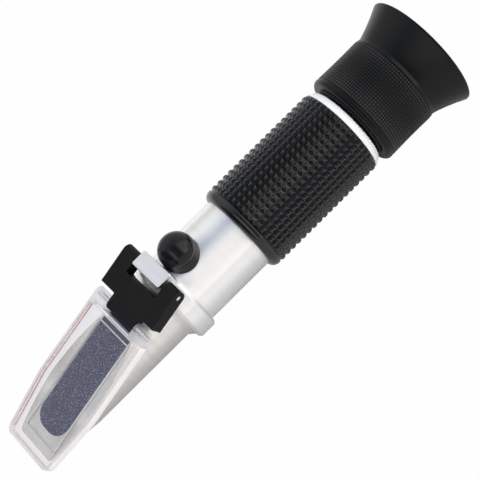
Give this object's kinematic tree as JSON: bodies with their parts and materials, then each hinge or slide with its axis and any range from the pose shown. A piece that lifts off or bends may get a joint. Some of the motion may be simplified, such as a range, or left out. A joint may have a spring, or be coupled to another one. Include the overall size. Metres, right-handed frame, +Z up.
{
  "type": "handheld refractometer",
  "caption": "Handheld optical refractometer: sloped prism under a hinged clear cover plate, bare metal barrel with rubber grip, calibration screw under a cap and a turning focus eyepiece.",
  "frame": {"origin": "on the barrel's axis, at the shoulder where the bare tube leaves the hinge ring", "axes": "+X along the barrel towards the eye, +Z out of the side with the prism face, hinge and screw cap, +Y to the right when looking from the prism end with +Z up"},
  "size_m": [0.1691, 0.04, 0.0411],
  "materials": {
    "turned_aluminium": "fine turned, satin",
    "satin_aluminium": "satin",
    "bright_aluminium": "polished",
    "bearing_steel": "ground",
    "spring_steel": "blued",
    "brass": "machined",
    "black_metal": "matte black anodised",
    "prism_glass": "polished, blackened sides",
    "lens_glass": "polished",
    "optical_cement": "cured cement",
    "clear_acrylic": "clear, frosted pad below",
    "black_nylon": "matte moulded",
    "cap_rubber": "glossy",
    "grip_rubber": "moulded, pyramid pattern",
    "eyecup_rubber": "soft, matte, fine ribs"
  },
  "bodies": {
    "barrel": {"barrel_tube": "turned_aluminium", "prism_housing": "satin_aluminium", "main_prism": "prism_glass", "prism_cement": "optical_cement", "light_stop": "black_metal", "hinge_ring": "satin_aluminium", "hinge_pin": "bearing_steel", "screw_bush": "brass", "lens_frame": "brass", "frame_screws": "bearing_steel", "rocker_pin": "bearing_steel", "return_spring": "spring_steel", "reticle_cell": "black_metal", "reticle": "lens_glass", "reticle_clamp_ring": "black_metal", "grip_sleeve": "grip_rubber", "focus_bush": "bright_aluminium"},
    "hinge_arm": {"hinge_block": "black_nylon", "cover_pin": "bearing_steel"},
    "cover": {"cover_plate": "clear_acrylic"},
    "cap": {"screw_cap": "cap_rubber"},
    "screw": {"calibration_screw": "bearing_steel"},
    "lens_rocker": {"rocker_arm": "brass", "bimetal_strip": "spring_steel", "strip_screws": "bearing_steel", "objective_cell": "brass", "objective_lens": "lens_glass", "objective_ring": "black_metal"},
    "eyepiece_lenses": {"field_lens": "lens_glass", "lens_spacer": "black_metal", "eye_lens": "lens_glass"},
    "eyepiece": {"eyepiece_barrel": "black_metal", "eye_lens_ring": "black_metal", "eyecup": "eyecup_rubber"}
  },
  "joints": [
    {"name": "cover_hinge", "type": "hinge", "parent": "barrel", "child": "hinge_arm", "pos_m": [-0.00366, 0, 0.01549], "axis": [0, 1, 0], "range_deg": [0, 120]},
    {"name": "cover_float", "type": "hinge", "parent": "hinge_arm", "child": "cover", "pos_m": [-0.01806, 0, 0.01095], "axis": [0, 1, 0], "range_deg": [0, 12]},
    {"name": "cap_pull", "type": "slide", "parent": "barrel", "child": "cap", "axis": [0, 0, 1], "range_m": [0, 0.006]},
    {"name": "calibration_turn", "type": "hinge", "parent": "barrel", "child": "screw", "pos_m": [0.00605, 0, 0.0135], "axis": [0, 0, 1], "range_deg": [-180, 180]},
    {"name": "rocker_tilt", "type": "hinge", "parent": "barrel", "child": "lens_rocker", "pos_m": [0.0255, 0, 0.0089], "axis": [0, 1, 0], "range_deg": [-0.66, 0.66]},
    {"name": "focus_travel", "type": "slide", "parent": "barrel", "child": "eyepiece_lenses", "axis": [1, 0, 0], "range_m": [-0.00088, 0.00281]},
    {"name": "focus_turn", "type": "hinge", "parent": "eyepiece_lenses", "child": "eyepiece", "pos_m": [0.0709, 0, 0], "axis": [1, 0, 0], "range_deg": [-75, 240]}
  ],
  "couplings": [
    {"joint": "calibration_turn", "follows": "rocker_tilt", "ratio": 271.57},
    {"joint": "focus_travel", "follows": "focus_turn", "m_per_rad": 0.00066845}
  ]
}
